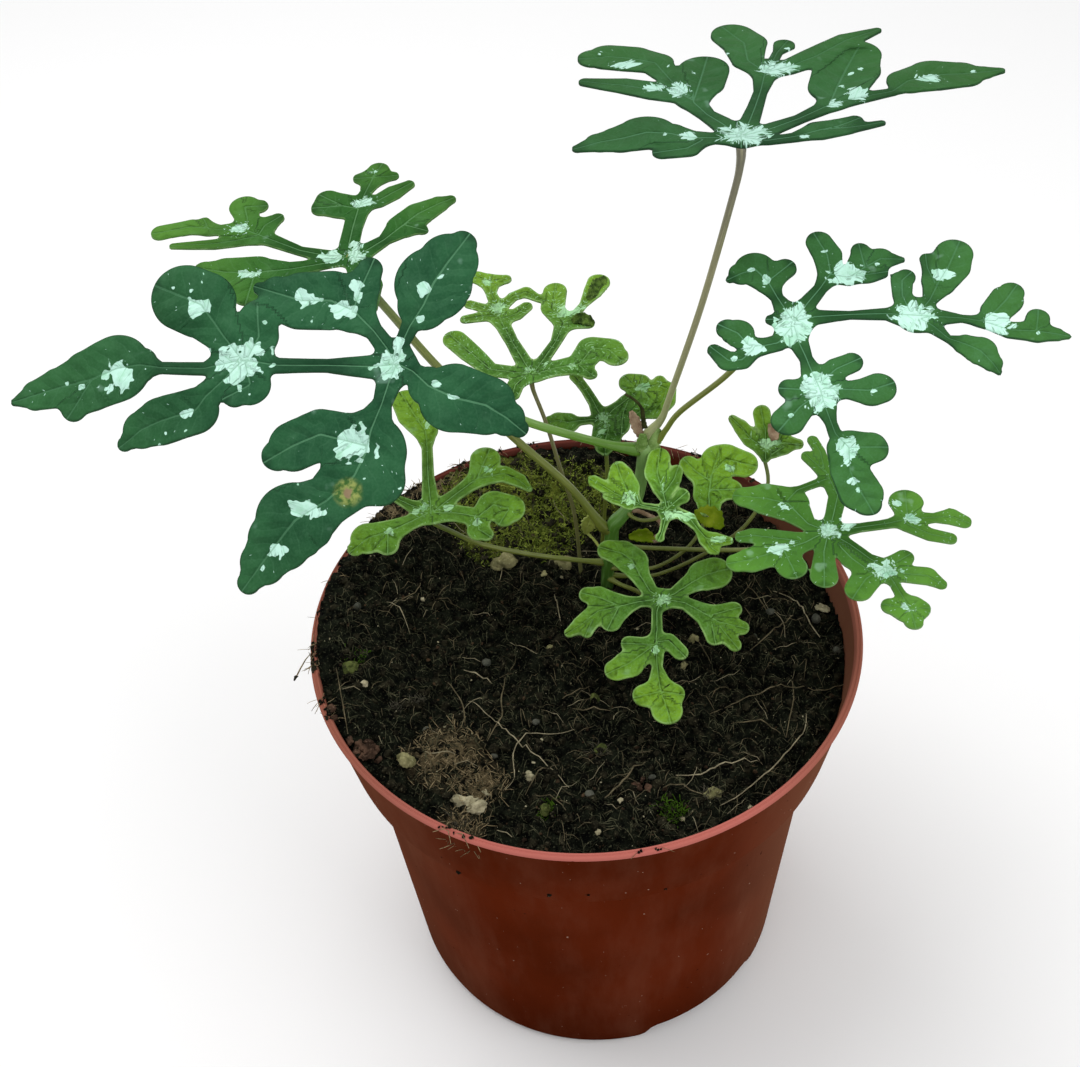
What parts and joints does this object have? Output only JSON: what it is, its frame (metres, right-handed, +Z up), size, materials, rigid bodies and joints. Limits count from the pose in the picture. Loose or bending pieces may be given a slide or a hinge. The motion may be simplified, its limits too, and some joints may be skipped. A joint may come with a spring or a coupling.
{
  "type": "potted silver-splashed cut-leaf plant",
  "caption": "Young house plant with deeply lobed, silver-splashed green leaves on slender stalks, growing in a round tapered plastic nursery pot filled with potting mix.",
  "frame": {"origin": "middle of the pot's base, on the surface it stands on", "axes": "+Z up, the front of the plant faces -Y, +X to the right as seen from the front"},
  "size_m": [0.194, 0.124, 0.2098],
  "materials": {
    "pot_plastic": "thin moulded plastic, terracotta red-brown, satin, a little dusty",
    "potting_mix": "dark damp potting mix with perlite, bark, moss and rootlets",
    "green_stem": "smooth fresh green",
    "olive_stalk": "smooth olive green",
    "pale_stalk": "smooth, pale grey-brown",
    "leaf_deep": "satin dark green leaf with mint-white splashes along the ribs",
    "leaf_mid": "satin green leaf with mint-white splashes",
    "leaf_young": "satin young leaf, fresh yellow-green with pale margins"
  },
  "bodies": {
    "root": {"pot": "pot_plastic", "soil": "potting_mix", "main_stem": "green_stem", "stalk_a": "green_stem", "stalk_b": "olive_stalk", "stalk_c": "pale_stalk", "stalk_d": "olive_stalk", "stalk_e": "pale_stalk", "stalk_f": "olive_stalk", "stalk_g": "olive_stalk", "stalk_h": "olive_stalk", "stalk_i": "olive_stalk", "stalk_j": "olive_stalk", "stalk_k": "olive_stalk", "stalk_l": "olive_stalk", "blade_a": "leaf_deep", "blade_b": "leaf_mid", "blade_c": "leaf_deep", "blade_d": "leaf_deep", "blade_e": "leaf_young", "blade_f": "leaf_young", "blade_g": "leaf_young", "blade_h": "leaf_young", "blade_i": "leaf_mid", "blade_j": "leaf_young", "blade_k": "leaf_young", "blade_l": "leaf_young"}
  },
  "joints": []
}
